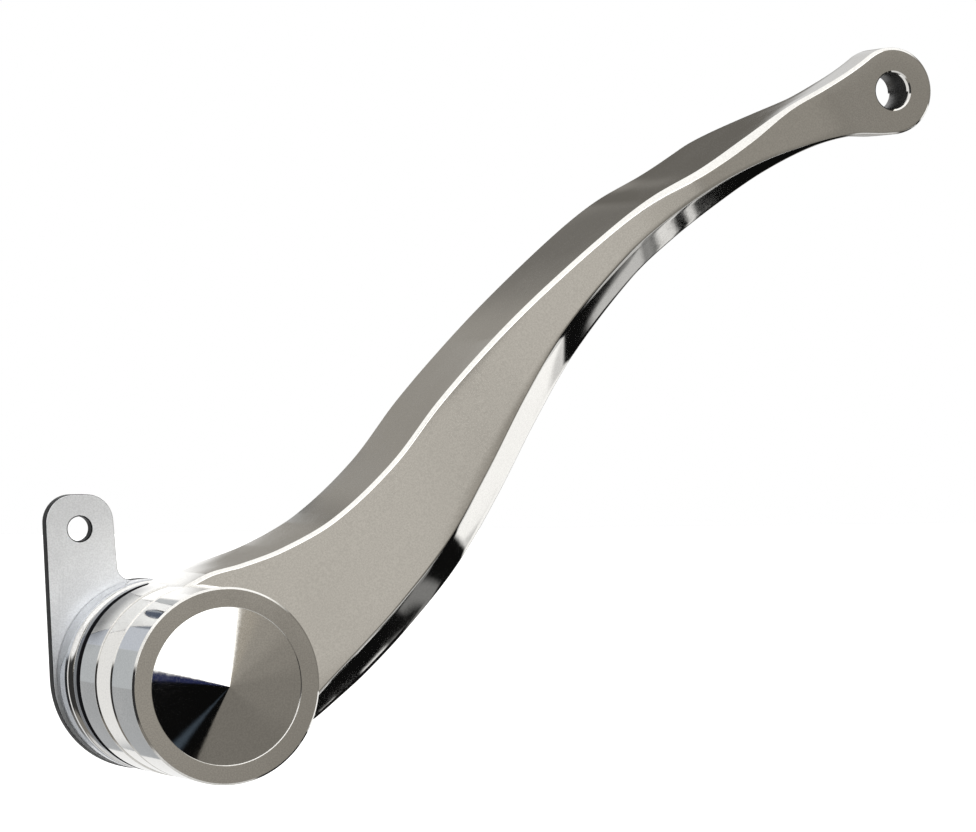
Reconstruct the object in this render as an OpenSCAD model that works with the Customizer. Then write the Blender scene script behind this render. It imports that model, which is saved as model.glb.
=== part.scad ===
// Rear brake pedal of a motorbike: a chromed billet arm that swings on a pivot hub.
// The pivot axis is Y, the outer face looks along -Y, and +Z is up.
// The origin lies on the pivot axis, in the middle plane of the arm.

/* [Arm] */
// Distance of the pad eye in front of the pivot
eye_x = 196; // [160:1:230]
// Height of the pad eye above the pivot
eye_z = 155; // [125:1:185]
// Thickness of the billet that the arm is cut from
arm_t = 31.75; // [28:0.25:38]
// Widest part of the polished bevel along the lower edge
low_bevel = 10; // [6:0.1:11.5]
// Widest part of the bevel along the upper edge
top_bevel = 1.75; // [1:0.05:2.5]
// Small bevel on the edges of the back
back_bevel = 1; // [0.4:0.1:1.6]
// Degrees by which the face leans back towards its upper edge, between hub and eye
face_lean = 1.8; // [0:0.1:3]
// How far the face swells forward on its way to the eye
face_swell = 3; // [0:0.1:6]
// How far the back swells out before it steps down to the eye
back_swell = 5.5; // [0:0.1:8]

/* [Pad eye] */
// Radius of the rounded end
eye_r = 11.7; // [10.5:0.1:14]
// Thickness of the rounded end
eye_t = 12.7; // [10:0.1:16]
// Diameter of the tapped hole across its thread crests
eye_hole_d = 9.6; // [7:0.1:12]
// Leg of the bevel at each mouth of the tapped hole
eye_hole_bevel = 0.6; // [0.3:0.1:1]

/* [Hub] */
// Outer radius of the hub, its cap, rings and lever plate
hub_r = 25; // [24.4:0.1:28]
// Bevel at the front edge of the hub barrel
hub_bevel = 1.2; // [0.6:0.1:2]
// Width of the groove turned in the barrel near its back
groove_w = 3.1; // [2:0.1:4]
// Depth of that groove
groove_d = 1.1; // [0.5:0.1:1.6]
// Width of the lip left behind that groove
lip_w = 2.9; // [2:0.1:4]
// Counterbore that takes the cap, as a share of the hub's radius
cap_seat_share = 0.672; // [0.64:0.004:0.696]
// Depth of that counterbore
cap_seat_d = 8; // [7.5:0.1:10]
// Boss behind the arm that carries the rings, as a share of the hub's radius
boss_share = 0.624; // [0.6:0.004:0.632]

/* [Hub cap] */
// Height of the cap in front of the arm
cap_h = 16.6; // [14:0.1:20]
// Width of the flat rim round the cone
rim_w = 4.9; // [4:0.1:7]
// Bevel at the outer edge of the rim
rim_bevel = 0.5; // [0.3:0.05:1.2]
// Bevel at the inner edge of the rim
rim_step = 0.3; // [0.2:0.05:0.8]
// How far the tip of the cone stands in front of the rim
cone_proud = 2.2; // [1:0.1:4]
// Wall of the cap inside the sealing ring's groove
cap_side = 2.25; // [1.4:0.05:3.5]
// Thickness of the cap's front wall at the rim
cap_wall = 5; // [4:0.1:7]
// Length of the spigot that enters the arm
spigot_l = 6; // [5.4:0.1:6.4]
// Section diameter of the sealing ring in the spigot
seal_d = 2; // [1.6:0.1:2.4]

/* [Pivot bearing] */
// Bore of both bushes, a running fit on the pivot shaft, as a share of the hub's radius
bore_share = 0.382; // [0.34:0.002:0.396]
// Wall of both bushes
bush_wall = 1.55; // [1.2:0.05:1.8]
// Length of each bush in the arm
bush_l = 14; // [10:0.5:16]
// Thickness of the bush flanges
flange_t = 1.5; // [1:0.1:1.6]
// Space left round each piece that is fitted into another
fit_gap = 0.05; // [0.02:0.01:0.1]

/* [Lever] */
// Width of the trim ring behind the arm
trim_w = 6.4; // [5.6:0.1:8]
// Width of the half-round bead at the back of the trim ring
bead_w = 3.4; // [2.4:0.1:4]
// Depth of the neck beside that bead
neck_d = 1.8; // [1:0.1:2.4]
// Width of the collar between trim ring and lever plate
collar_w = 7.4; // [5:0.1:10]
// Bevel on both edges of the collar
collar_bevel = 0.6; // [0.3:0.1:1]
// Thickness of the lever plate
plate_t = 3.4; // [3:0.1:4.4]
// Bevel at the plate's outer edges
plate_bevel = 0.3; // [0.1:0.1:0.5]
// How far the plate's disc is set off from the pivot axis, away from the eye
plate_shift = 0.9; // [0:0.1:1.1]
// Distance of the tab's outer edge from the pivot axis
tab_out = 27.9; // [26:0.1:30]
// Width of the upright tab
tab_w = 18.5; // [16:0.1:21]
// Height of the tab's top edge above the pivot
tab_top = 47.2; // [44:0.1:56]
// Radius of the tab's corners
tab_corner_r = 7.3; // [4:0.1:8]
// Lean of the tab's inner edge in degrees, wider towards the disc
tab_lean = 5; // [0:0.1:8]
// Radius of the fillet between tab and disc
tab_fillet_r = 3.6; // [2:0.1:6]
// Diameter of the rod hole in the tab
rod_hole_d = 6.5; // [5:0.1:8]
// Distance of that hole below the tab's top edge
rod_hole_drop = 9; // [8:0.1:12]

/* [Fasteners] */
// Number of countersunk screws behind the plate
screw_count = 4; // [3:1:4]
// Diameter of the screws
screw_d = 4; // [3:0.1:4]
// Diameter of a screw head at the plate's back
screw_head_d = 7.6; // [6:0.1:8]
// Depth of the hexagon socket in a screw head
screw_socket_d = 1.4; // [1:0.1:1.8]
// Length of the screws inside the arm
screw_bite = 9; // [6:0.5:12]
// Diameter of the two dowel pins that carry the pull
pin_d = 4; // [3:0.1:4]
// Length of the pins inside the arm
pin_bite = 8; // [5:0.5:12]

/* [Hidden] */
$fn = 96;
overlap = 0.5;

// Depths along the pivot axis, from the outer face to the back
arm_front = -arm_t / 2;
arm_back = arm_t / 2;
rim_y = arm_front - cap_h;
eye_back = arm_front + eye_t;
seat_y = arm_front + cap_seat_d;
trim_back = arm_back + trim_w;
collar_back = trim_back + collar_w;
plate_back = collar_back + plate_t;

// Radii of the hub, from the bore outwards
bore_r = bore_share * hub_r;
bush_r = bore_r + bush_wall;
boss_r = boss_share * hub_r;
cap_seat_r = cap_seat_share * hub_r;
// The bush flanges and the thrust washer reach halfway to the counterbore's wall
flange_r = (bush_r + cap_seat_r) / 2;
cap_pocket_r = cap_seat_r - seal_d - fit_gap - cap_side;
// Screws and pins stand in the middle of the trim ring's wall
screw_circle_r = (boss_r + hub_r - neck_d) / 2;

// The arm is laid out along the line from the pivot to the eye
reach = sqrt(eye_x * eye_x + eye_z * eye_z);
rise = atan2(eye_z, eye_x);
blade_steps = 52;
root_u = -0.13 * hub_r;
root_v = sqrt(hub_r * hub_r - root_u * root_u) - 0.4;
// The lower edge meets the eye at its lowest point
toe_u = reach - eye_r * sin(rise);
toe_v = -eye_r * cos(rise);

// Each row is one station: distance from the pivot, height of the upper edge above the line
// and height of the lower edge, the upper bevel and the lower bevel
STATIONS = [
    [root_u, root_v, -root_v, 1, 1.2],
    [0.070 * reach, hub_r - 3.9, -hub_r - 2.8, 0.8, 0.55 * low_bevel],
    [0.108 * reach, hub_r - 7.9, -hub_r - 3.4, 0.8, 0.72 * low_bevel],
    [0.152 * reach, 13.3, -28.4, 0.8, 0.83 * low_bevel],
    [0.215 * reach, 10.5, -26.8, 0.8, 0.87 * low_bevel],
    [0.300 * reach, 11.8, -22.9, 0.8, 0.93 * low_bevel],
    [0.380 * reach, 16.3, -16, 0.85, low_bevel],
    [0.464 * reach, 19.6, -6.9, 0.9, low_bevel],
    [0.538 * reach, 21.3, 0.3, 0.9, 0.93 * low_bevel],
    [0.638 * reach, 22.1, 6.5, 0.53 * top_bevel, 0.74 * low_bevel],
    [0.700 * reach, 21.4, 7.6, 0.66 * top_bevel, 0.66 * low_bevel],
    [0.765 * reach, 18.5, 7.2, 0.9 * top_bevel, 0.55 * low_bevel],
    [0.826 * reach, 16.9, 5.9, top_bevel, 0.33 * low_bevel],
    [0.888 * reach, 15.5, 2.5, 0.55 * top_bevel, 0.1 * low_bevel],
    [0.935 * reach, 13.4, -2.7, 0.8, 0.6],
    [toe_u, eye_r + 0.4, toe_v, 0.7, 0.6],
    [reach, eye_r - 0.05, -eye_r, 0.7, 0.6]
];

// A smooth value of one column at any distance along the arm
function row_before(u, i = 0) =
    (i >= len(STATIONS) - 2 || u < STATIONS[i + 1][0]) ? i : row_before(u, i + 1);
function rate(col, a, b) = (STATIONS[b][col] - STATIONS[a][col]) / (STATIONS[b][0] - STATIONS[a][0]);
function slope_at(col, i) = rate(col, max(i - 1, 0), min(i + 1, len(STATIONS) - 1));
function along(col, u) =
    let(i = row_before(u), h = STATIONS[i + 1][0] - STATIONS[i][0], s = (u - STATIONS[i][0]) / h)
    STATIONS[i][col] * (2 * s * s * s - 3 * s * s + 1)
    + slope_at(col, i) * h * (s * s * s - 2 * s * s + s)
    + STATIONS[i + 1][col] * (3 * s * s - 2 * s * s * s)
    + slope_at(col, i + 1) * h * (s * s * s - s * s);

// A rise from 0 to 1 between two distances, level at both ends
function ease(u, a, b) = let(s = min(max((u - a) / (b - a), 0), 1)) s * s * (3 - 2 * s);

// Past the toe the lower edge stays just inside the round eye
function lower_edge(u) = u < toe_u ? along(2, u)
    : -sqrt(max(pow(eye_r, 2) - pow(reach - u, 2), 0)) + 0.05;
// The face swells forward and comes back to the plane of the eye
function front_of(u) = arm_front
    - face_swell * ease(u, 0.25 * reach, 0.7 * reach) * (1 - ease(u, 0.74 * reach, 0.94 * reach));
// The back swells out, then steps forward to the thin eye over a short ramp
function back_of(u) = arm_back + back_swell * ease(u, 0.44 * reach, 0.78 * reach)
    - (arm_t + back_swell - eye_t) * ease(u, 0.82 * reach, 0.92 * reach);
function lean_of(u, width) = tan(face_lean) * width * (1 - ease(u, 0.66 * reach, 0.86 * reach));
function to_arm(u, v, y) = [u * cos(rise) - v * sin(rise), y, u * sin(rise) + v * cos(rise)];

// Eight corners of the section at one station, round from the face's lower edge
function section(u) =
    let(top = along(1, u), low = lower_edge(u), tb = along(3, u), lb = along(4, u),
        front = front_of(u), lean = front + lean_of(u, top - low - tb - lb), back = back_of(u), bb = back_bevel)
    [to_arm(u, low + lb, front), to_arm(u, top - tb, lean),
     to_arm(u, top, lean + tb), to_arm(u, top, back - bb),
     to_arm(u, top - bb, back), to_arm(u, low + bb, back),
     to_arm(u, low, back - bb), to_arm(u, low, front + lb)];

module rod(r, y0, y1) {
    translate([0, y0, 0])
        rotate([-90, 0, 0])
            cylinder(r = r, h = y1 - y0);
}

// A cone between two radii along the pivot axis
module taper(r0, r1, y0, y1) {
    translate([0, y0, 0])
        rotate([-90, 0, 0])
            cylinder(r1 = r0, r2 = r1, h = y1 - y0);
}

// A turned piece from an outline of [radius, depth] points
module turned(outline) {
    rotate([-90, 0, 0])
        rotate_extrude()
            polygon(outline);
}

// A ring with square edges
module band(inner, outer, y0, y1) {
    difference() {
        rod(outer, y0, y1);
        rod(inner, y0 - overlap, y1 + overlap);
    }
}

module at_eye() {
    translate([eye_x, 0, eye_z])
        children();
}

module at_screws() {
    for (i = [0 : screw_count - 1])
        rotate([0, 45 + i * 360 / screw_count, 0])
            translate([screw_circle_r, 0, 0])
                children();
}

// The pins stand on the line between pivot and eye, clear of every screw
module at_pins() {
    for (side = [0, 1])
        rotate([0, side * 180, 0])
            translate([screw_circle_r, 0, 0])
                children();
}

// The S-shaped blade, lofted through the stations
module blade() {
    rings = [for (i = [0 : blade_steps]) section(root_u + (reach - root_u) * i / blade_steps)];
    corners = [for (ring = rings) for (p = ring) p];
    sides = [for (i = [0 : blade_steps - 1]) for (k = [0 : 7])
        let(a = i * 8 + k, b = i * 8 + (k + 1) % 8)
        each [[a, b, b + 8], [a, b + 8, a + 8]]];
    root_cap = [[for (k = [7 : -1 : 0]) k]];
    eye_cap = [[for (k = [0 : 7]) blade_steps * 8 + k]];
    polyhedron(points = corners, faces = concat(sides, root_cap, eye_cap), convexity = 6);
}

module barrel() {
    lip_y = arm_back - lip_w;
    turned([
        [0, arm_front],
        [hub_r - hub_bevel, arm_front],
        [hub_r, arm_front + hub_bevel],
        [hub_r, lip_y - groove_w],
        [hub_r - groove_d, lip_y - groove_w + groove_d],
        [hub_r - groove_d, lip_y],
        [hub_r, lip_y],
        [hub_r, arm_back - 0.4],
        [hub_r - 0.4, arm_back],
        [boss_r, arm_back],
        [boss_r, collar_back],
        [0, collar_back]
    ]);
}

module eye_disc() {
    edge = 0.6;
    at_eye()
        turned([
            [0, arm_front],
            [eye_r - edge, arm_front],
            [eye_r, arm_front + edge],
            [eye_r, eye_back - edge],
            [eye_r - edge, eye_back],
            [0, eye_back]
        ]);
}

module eye_hole() {
    r = eye_hole_d / 2;
    b = eye_hole_bevel;
    at_eye() {
        rod(r, arm_front - overlap, eye_back + overlap);
        taper(r + b + overlap, r, arm_front - overlap, arm_front + b);
        taper(r, r + b + overlap, eye_back - b, eye_back + overlap);
    }
}

module pedal_arm() {
    color("gainsboro")
        difference() {
            union() {
                blade();
                barrel();
                eye_disc();
            }
            eye_hole();
            rod(bush_r + fit_gap, arm_front - overlap, collar_back + overlap);
            rod(cap_seat_r, arm_front - overlap, seat_y);
            at_screws()
                rod(screw_d / 2 + fit_gap, arm_back - screw_bite - 1, arm_back + overlap);
            at_pins()
                rod(pin_d / 2 + fit_gap, arm_back - pin_bite - fit_gap, arm_back + overlap);
        }
}

// The turned cap: a flat rim round a low cone, with a spigot that seats in the arm
module hub_cap() {
    edge = 0.4;
    rim_in = hub_r - rim_w;
    spigot_r = cap_seat_r - fit_gap;
    spigot_end = arm_front + spigot_l;
    seal_y = arm_front + spigot_l / 2;
    seal_floor = cap_seat_r - seal_d - fit_gap;
    half = seal_d / 2 + 0.1;
    color("silver")
        turned([
            [0, rim_y - cone_proud],
            [rim_in - rim_step, rim_y + rim_step],
            [rim_in, rim_y],
            [hub_r - rim_bevel, rim_y],
            [hub_r, rim_y + rim_bevel],
            [hub_r, arm_front - edge],
            [hub_r - edge, arm_front],
            [spigot_r, arm_front],
            [spigot_r, seal_y - half],
            [seal_floor, seal_y - half],
            [seal_floor, seal_y + half],
            [spigot_r, seal_y + half],
            [spigot_r, spigot_end - edge],
            [spigot_r - edge, spigot_end],
            [cap_pocket_r, spigot_end],
            [cap_pocket_r, rim_y + cap_wall + 2],
            [cap_pocket_r - 2, rim_y + cap_wall],
            [0, rim_y + cap_wall]
        ]);
}

module cap_seal() {
    color("dimgray")
        translate([0, arm_front + spigot_l / 2, 0])
            rotate([-90, 0, 0])
                rotate_extrude()
                    translate([cap_seat_r - seal_d / 2 - fit_gap / 2, 0])
                        circle(d = seal_d - fit_gap, $fn = 24);
}

// A flanged bush, given the depth of its flange seat and the side on which the flange lies
module bush(seat, side) {
    tip = seat - side * bush_l;
    rim = seat + side * flange_t;
    edge = 0.4;
    color("darkgoldenrod")
        turned([
            [bore_r, tip],
            [bush_r - edge, tip],
            [bush_r, tip + side * edge],
            [bush_r, seat],
            [flange_r, seat],
            [flange_r, rim],
            [bore_r, rim]
        ]);
}

module front_bush() {
    bush(seat_y, -1);
}

module rear_bush() {
    bush(collar_back, 1);
}

module thrust_washer() {
    color("lightsteelblue")
        band(bore_r + 0.15, flange_r, collar_back + flange_t, plate_back);
}

// A ring with a sunk neck beside a half-round bead
module trim_ring() {
    bead_r = bead_w / 2;
    color("whitesmoke")
        difference() {
            rotate([-90, 0, 0])
                rotate_extrude() {
                    translate([boss_r + fit_gap, arm_back])
                        square([hub_r - neck_d - boss_r - fit_gap, trim_w]);
                    translate([hub_r - bead_r, trim_back - bead_r])
                        circle(r = bead_r, $fn = 48);
                }
            ring_holes(arm_back, trim_back);
        }
}

// Clearance holes for the screws and pins through one ring
module ring_holes(y0, y1) {
    at_screws()
        rod(screw_d / 2 + fit_gap, y0 - overlap, y1 + overlap);
    at_pins()
        rod(pin_d / 2 + fit_gap, y0 - overlap, y1 + overlap);
}

module lever_collar() {
    b = collar_bevel;
    color("slategray")
        difference() {
            turned([
                [boss_r + fit_gap, trim_back],
                [hub_r - b, trim_back],
                [hub_r, trim_back + b],
                [hub_r, collar_back - b],
                [hub_r - b, collar_back],
                [boss_r + fit_gap, collar_back]
            ]);
            ring_holes(trim_back, collar_back);
        }
}

// Centres of the plate's disc, of the tab's two corners and of the fillet between tab and disc
disc_c = [-plate_shift, 0];
tab_level = tab_top - tab_corner_r;
outer_c = [-tab_out + tab_corner_r, tab_level];
inner_c = [-tab_out + tab_w - tab_corner_r, tab_level];
// Direction square to the tab's inner edge, and that edge's distance from the disc's centre
inner_n = [cos(tab_lean), sin(tab_lean)];
inner_k = (inner_c - disc_c) * inner_n + tab_corner_r;
fillet_c = disc_c + inner_n * (inner_k + tab_fillet_r)
    + [-sin(tab_lean), cos(tab_lean)] * sqrt(pow(hub_r + tab_fillet_r, 2) - pow(inner_k + tab_fillet_r, 2));
// Direction square to the line that touches the disc and the tab's outer corner
outer_d = outer_c - disc_c;
outer_a = atan2(outer_d[1], outer_d[0]) + acos((hub_r - tab_corner_r) / norm(outer_d));
outer_n = [cos(outer_a), sin(outer_a)];

fillet_a = atan2(fillet_c[1] - disc_c[1], fillet_c[0] - disc_c[0]);

function arc_points(c, r, from, to, count) =
    [for (i = [0 : count]) let(a = from + (to - from) * i / count) c + r * [cos(a), sin(a)]];

// The plate's outline seen from the outer side, as one line round disc, tab and fillet
module plate_outline(inset) {
    corner = tab_corner_r - inset;
    polygon(concat(
        arc_points(outer_c, corner, outer_a, 90, 12),
        arc_points(inner_c, corner, 90, tab_lean, 12),
        arc_points(fillet_c, tab_fillet_r + inset, 180 + tab_lean, 180 + fillet_a, 8),
        arc_points(disc_c, hub_r - inset, fillet_a - 2, outer_a - 358, 108)
    ));
}

// A flat layer of the plate between two depths
module plate_layer(inset, y0, y1) {
    translate([0, y1, 0])
        rotate([90, 0, 0])
            linear_extrude(height = y1 - y0)
                plate_outline(inset);
}

module lever_plate() {
    hole_x = -tab_out + tab_w / 2;
    hole_z = tab_top - rod_hole_drop;
    b = plate_bevel;
    color("lightgray")
        difference() {
            union() {
                plate_layer(b, collar_back, plate_back);
                plate_layer(0, collar_back + b, plate_back - b);
            }
            rod(flange_r + fit_gap, collar_back - overlap, plate_back + overlap);
            ring_holes(collar_back, plate_back);
            at_screws()
                taper(screw_d / 2 + fit_gap, screw_head_d / 2 + fit_gap,
                    plate_back - (screw_head_d - screw_d) / 2, plate_back);
            translate([hole_x, 0, hole_z])
                rod(rod_hole_d / 2, collar_back - overlap, plate_back + overlap);
        }
}

// Countersunk screws with a hexagon socket, driven in from the back
module lever_screws() {
    head = (screw_head_d - screw_d) / 2;
    edge = 0.4;
    color("dimgray")
        at_screws()
            difference() {
                turned([
                    [0, arm_back - screw_bite],
                    [screw_d / 2 - edge, arm_back - screw_bite],
                    [screw_d / 2, arm_back - screw_bite + edge],
                    [screw_d / 2, plate_back - head],
                    [screw_head_d / 2, plate_back],
                    [0, plate_back]
                ]);
                translate([0, plate_back - screw_socket_d, 0])
                    rotate([-90, 0, 0])
                        cylinder(d = 0.62 * screw_d, h = screw_socket_d + overlap, $fn = 6);
            }
}

module drive_pins() {
    edge = 0.3;
    color("gray")
        at_pins()
            turned([
                [0, arm_back - pin_bite],
                [pin_d / 2 - edge, arm_back - pin_bite],
                [pin_d / 2, arm_back - pin_bite + edge],
                [pin_d / 2, plate_back - edge],
                [pin_d / 2 - edge, plate_back],
                [0, plate_back]
            ]);
}

pedal_arm();
hub_cap();
cap_seal();
front_bush();
rear_bush();
thrust_washer();
trim_ring();
lever_collar();
lever_plate();
lever_screws();
drive_pins();
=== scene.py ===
import math
import bpy
import bmesh
from mathutils import Matrix, Vector


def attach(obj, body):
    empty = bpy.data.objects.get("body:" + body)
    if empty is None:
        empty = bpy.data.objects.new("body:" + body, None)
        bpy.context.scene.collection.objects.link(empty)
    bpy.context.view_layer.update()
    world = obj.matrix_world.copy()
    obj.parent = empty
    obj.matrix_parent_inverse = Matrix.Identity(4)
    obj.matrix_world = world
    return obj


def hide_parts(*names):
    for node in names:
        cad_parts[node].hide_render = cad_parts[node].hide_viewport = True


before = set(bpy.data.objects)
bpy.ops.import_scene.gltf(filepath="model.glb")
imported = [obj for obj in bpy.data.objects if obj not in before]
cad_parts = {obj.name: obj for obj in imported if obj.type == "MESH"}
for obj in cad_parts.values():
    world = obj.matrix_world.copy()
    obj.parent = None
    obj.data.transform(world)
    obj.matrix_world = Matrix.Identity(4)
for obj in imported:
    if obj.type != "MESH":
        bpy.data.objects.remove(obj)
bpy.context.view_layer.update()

mm = 0.001
scene = bpy.context.scene
scene.view_settings.view_transform = "Standard"
print("frame loaded:", len(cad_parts), "nodes")


# The camera stands at the photograph's angle
cameraSet = {"place": (-0.43246, -1.24821, 0.07589), "turn": (89.65, 0, -22.5), "lens": 188.97}

cameraData = bpy.data.cameras.new("camera")
cameraData.lens = cameraSet["lens"]
cameraData.sensor_width = 36
cameraData.clip_end = 50
camera = bpy.data.objects.new("camera", cameraData)
camera.location = cameraSet["place"]
camera.rotation_euler = [math.radians(a) for a in cameraSet["turn"]]
scene.collection.objects.link(camera)
scene.camera = camera


# Node helpers
def newGroup(name, inputs, outputs):
    group = bpy.data.node_groups.new(name, "ShaderNodeTree")
    for label, kind, value in inputs:
        socket = group.interface.new_socket(label, in_out="INPUT", socket_type=kind)
        if value is not None:
            socket.default_value = value
    for label, kind in outputs:
        group.interface.new_socket(label, in_out="OUTPUT", socket_type=kind)
    return group, group.nodes.new("NodeGroupInput"), group.nodes.new("NodeGroupOutput")


def addNode(tree, kind, **values):
    node = tree.nodes.new(kind)
    for label, value in values.items():
        node.inputs[label].default_value = value
    return node


def groupNode(tree, group, vector, **values):
    node = addNode(tree, "ShaderNodeGroup")
    node.node_tree = group
    tree.links.new(vector, node.inputs["Vector"])
    for label, value in values.items():
        node.inputs[label].default_value = value
    return node


def mathNode(tree, operation, a, b=None, clamp=False):
    node = tree.nodes.new("ShaderNodeMath")
    node.operation = operation
    node.use_clamp = clamp
    for slot, value in ((0, a), (1, b)):
        if value is None:
            continue
        if isinstance(value, (int, float)):
            node.inputs[slot].default_value = value
        else:
            tree.links.new(value, node.inputs[slot])
    return node.outputs[0]


perRadian = 57.29578        # degrees


def degreesNode(tree, operation, a, b=None):
    return mathNode(tree, "MULTIPLY", mathNode(tree, operation, a, b), perRadian)


# Length of the vector (a, b)
def lengthNode(tree, a, b):
    squares = [mathNode(tree, "MULTIPLY", value, value) for value in (a, b)]
    return mathNode(tree, "SQRT", mathNode(tree, "ADD", *squares))


def rangeNode(tree, value, low, high, outLow=0.0, outHigh=1.0):
    node = tree.nodes.new("ShaderNodeMapRange")
    node.interpolation_type = "SMOOTHSTEP"
    tree.links.new(value, node.inputs["Value"])
    for label, amount in (("From Min", low), ("From Max", high), ("To Min", outLow), ("To Max", outHigh)):
        if isinstance(amount, (int, float)):
            node.inputs[label].default_value = amount
        else:
            tree.links.new(amount, node.inputs[label])
    return node.outputs["Result"]


def mixColour(tree, factor, a, b):
    node = tree.nodes.new("ShaderNodeMix")
    node.data_type = "RGBA"
    sockets = [s for s in node.inputs if s.type == "RGBA"]
    for socket, value in ((node.inputs[0], factor), (sockets[0], a), (sockets[1], b)):
        if isinstance(value, (int, float, tuple)):
            socket.default_value = value
        else:
            tree.links.new(value, socket)
    return [s for s in node.outputs if s.type == "RGBA"][0]


def grey(value, warm=0.0):
    return (value * (1 + warm), value, value * (1 - 1.6 * warm), 1.0)


def darker(tone, share):
    return tuple(c * share for c in tone[:3]) + (1.0,)


# What the chrome reflects, by direction in degrees (side: 0 towards the front, 90 to the right)
studioSet = {
    "white": 1.0,
    "base": grey(0.235, 0.06),
    "leanFrom": 105.0, "lean": 0.28,        # side where the strips start to drop, and by how much a degree
    # each patch: side from, side to, height from, height to, softness, tone
    "patches": [
        (-190, 190, 34, 95, 6, grey(1.35)),                     # white ceiling
        (-190, 190, -95, -52, 6, grey(0.8)),                    # pale floor
        (12, 45, -22, -11, 2.5, grey(0.205, 0.06)),
        (21, 45, -0.5, 14, 2, grey(0.275, 0.06)),
        (22, 45, 4.7, 14, 1.6, grey(0.335, 0.06)),
        (12, 26.2, 7.6, 34, 1.6, grey(0.40, 0.08)),             # warm fall-off beside the white card
        (-34, 14.6, -26, -0.3, 0.35, grey(0.004)),              # dark room
        (14.8, 26.0, -2.05, 6, 0.8, grey(0.33, 0.05)),          # pale wall that the face shows, fading to the right
        (14.8, 25.2, -2.05, 6, 0.8, grey(0.39, 0.05)),
        (14.8, 24.2, -2.05, 6, 0.8, grey(0.44, 0.05)),
        (14.8, 23.0, -2.05, 6, 0.8, grey(0.50, 0.05)),
        (14.8, 21.5, -2.05, 6, 0.8, grey(0.565, 0.045)),
        (15.5, 22.5, -7, -2.1, 0.3, grey(0.275, 0.06)),
        (15.5, 19.7, -4.6, -1.9, 0.8, grey(0.345, 0.06)),
        (-20, 13.5, -0.35, 34, 0.3, grey(2.2)),                 # white card
        (12.5, 22.2, 7.0, 34, 0.7, grey(2.2)),
        (9.6, 11.2, -16.5, -13, 0.6, (0.06, 0.08, 0.105, 1)),
        (-12, 9, -2.0, -0.35, 0.3, (0.025, 0.031, 0.095, 1)),
        (-130, -34, 10, 40, 4, grey(1.1)),
        (-130, -34, -30, 12, 4, grey(0.04)),
        (70, 150, -52, -8, 3, grey(0.005)),                     # right side: a dark room with pale strips
        (70, 150, -20.7, -6, 0.5, grey(1.22)),
        (70, 113.2, -20.6, -18.6, 0.6, grey(0.78)),
        (118.6, 150, -13, 12, 1.5, grey(0.5)),                  # grey that only the rounded outer edge shows
        (108.4, 150, -27.1, -25.6, 0.4, grey(0.24)),
        (122, 155, -52, 30, 3, grey(0.25, 0.04)),               # grey room that the back shows
        (137, 142, -52, 30, 3, grey(0.7)),
        (155, 190, -40, 30, 4, grey(1.05)),                     # pale wall behind
        (-190, -130, -40, 30, 2, grey(0.9)),
        (130, 190, 11.5, 24.5, 1.2, grey(0.335, 0.05)),         # the same wall in the shade, over the hub
        (-190, -165, 12, 24.5, 3, grey(0.335, 0.05)),
        (130, 176.5, 20.2, 24.5, 2.8, grey(0.165, 0.05)),
        (130, 168, 17.6, 24.5, 1.0, grey(0.15, 0.06)),
    ],
    # the pale strips to the right lean: their height drops with the side
    "strips": [
        (70, 108.4, -29.7, -25.4, 0.5, grey(0.64)),
        (70, 108.4, -31.0, -29.7, 0.8, grey(0.33)),
        (70, 108.4, -32.0, -31.2, 0.25, grey(0.95)),
        (70, 108.4, -33.7, -32.95, 0.22, grey(0.9)),
    ],
    # turn about the pivot axis from, to (0 to the left, 90 up), angle from that axis from, to, softness, tone
    "rings": [
        (-190, 190, -5, 19.7, 0.3, grey(0.97)),
        (-190, 190, -5, 12, 2.5, grey(0.30, 0.04)),             # seen only from behind
        (-105, 34, 17.5, 19.7, 0.35, (0.445, 0.46, 0.48, 1)),
        (-12, 34, 17.5, 19.7, 0.35, (0.55, 0.58, 0.61, 1)),
        (34, 96, 17.5, 19.7, 0.5, (0.62, 0.66, 0.74, 1)),
        (63.5, 71, 17.4, 20, 0.7, (0.23, 0.26, 0.31, 1)),       # dark things over the pedal, as bands
        (80.5, 89, 17.4, 20, 0.7, (0.10, 0.12, 0.17, 1)),
        (89, 96, 17.4, 20, 0.7, (0.36, 0.39, 0.44, 1)),
        (97, 104, 17.4, 20, 0.7, (0.13, 0.15, 0.18, 1)),
        (104, 113, 17.4, 20, 0.7, (0.60, 0.62, 0.64, 1)),
        (115, 165, -5, 19.35, 0.3, grey(1.35)),
        (128, 160, 19.4, 21, 0.25, grey(0.335, 0.05)),
        (80, 150, 26.1, 34, 0.25, grey(0.74)),
    ],
}


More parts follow.
